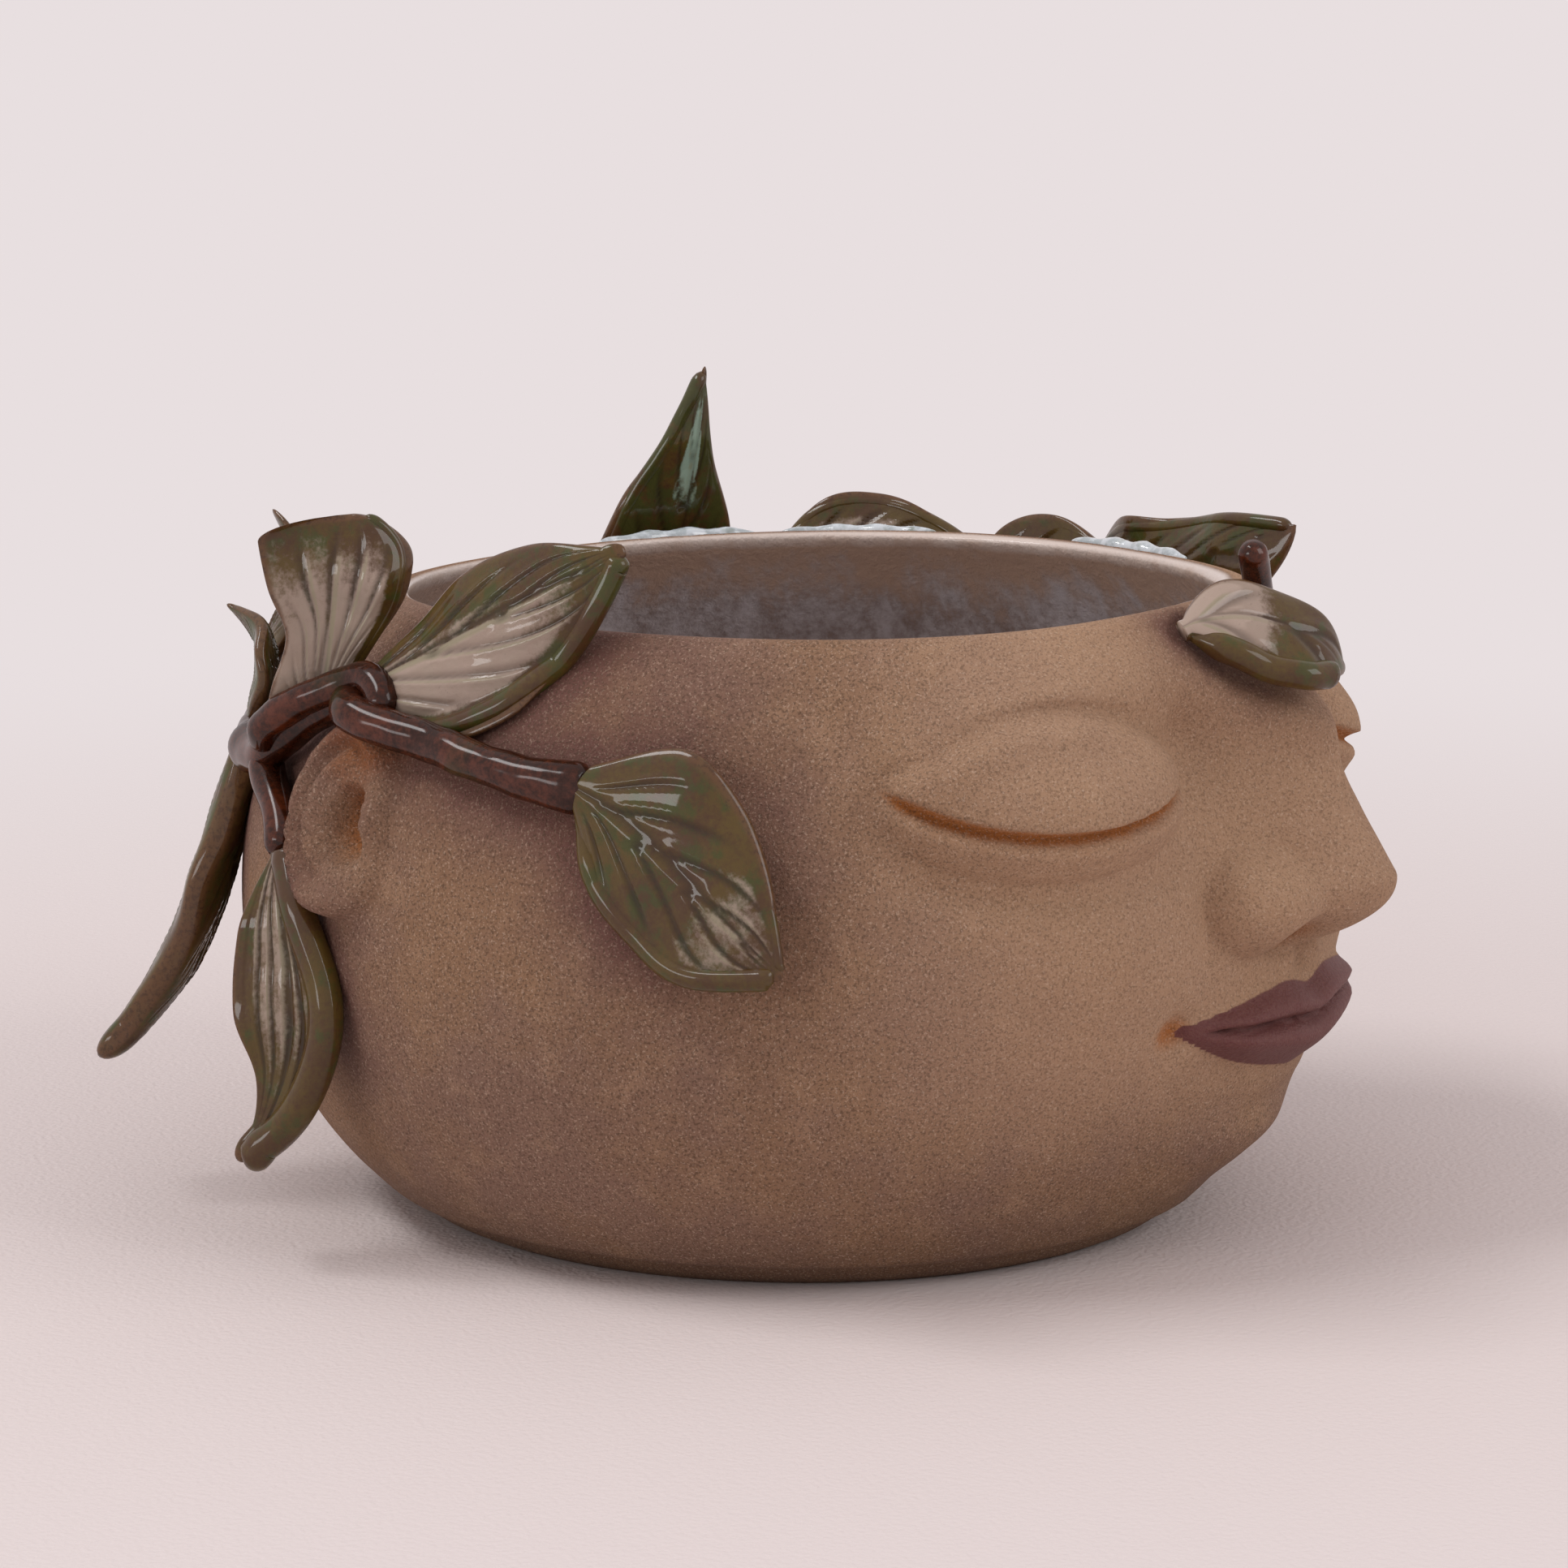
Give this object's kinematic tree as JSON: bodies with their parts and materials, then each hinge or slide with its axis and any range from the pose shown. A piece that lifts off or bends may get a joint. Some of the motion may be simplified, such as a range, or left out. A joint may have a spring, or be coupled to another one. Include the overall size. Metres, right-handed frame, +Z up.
{
  "type": "face planter",
  "caption": "Round stoneware planter shaped as a head with closed eyes, ringed by a glazed vine of rolled stems and pressed leaves.",
  "frame": {"origin": "centre of the foot's flat underside", "axes": "+Z up through the bowl, the face looks towards -Y, +X to the left side of the head"},
  "size_m": [0.1698, 0.1984, 0.1264],
  "materials": {
    "clay": "matte speckled stoneware",
    "stem_glaze": "gloss",
    "leaf_glaze": "gloss"
  },
  "bodies": {
    "root": {"bowl": "clay", "stem_temple_left": "stem_glaze", "stem_ear_left": "stem_glaze", "stem_back": "stem_glaze", "stem_ear_right": "stem_glaze", "stem_temple_right": "stem_glaze", "stem_hanging_right": "stem_glaze", "stem_forehead": "stem_glaze", "leaf_fan_right": "leaf_glaze", "leaf_rim_right": "leaf_glaze", "leaf_cheek_right": "leaf_glaze", "leaf_hanging_right": "leaf_glaze", "leaf_hanging_back": "leaf_glaze", "leaf_upright_back": "leaf_glaze", "leaf_curled_back": "leaf_glaze", "leaf_rim_back": "leaf_glaze", "leaf_rim_pointed": "leaf_glaze", "leaf_rim_long": "leaf_glaze", "leaf_rim_short": "leaf_glaze", "leaf_temple_left": "leaf_glaze", "leaf_cheek_left": "leaf_glaze", "leaf_forehead": "leaf_glaze"}
  },
  "joints": []
}
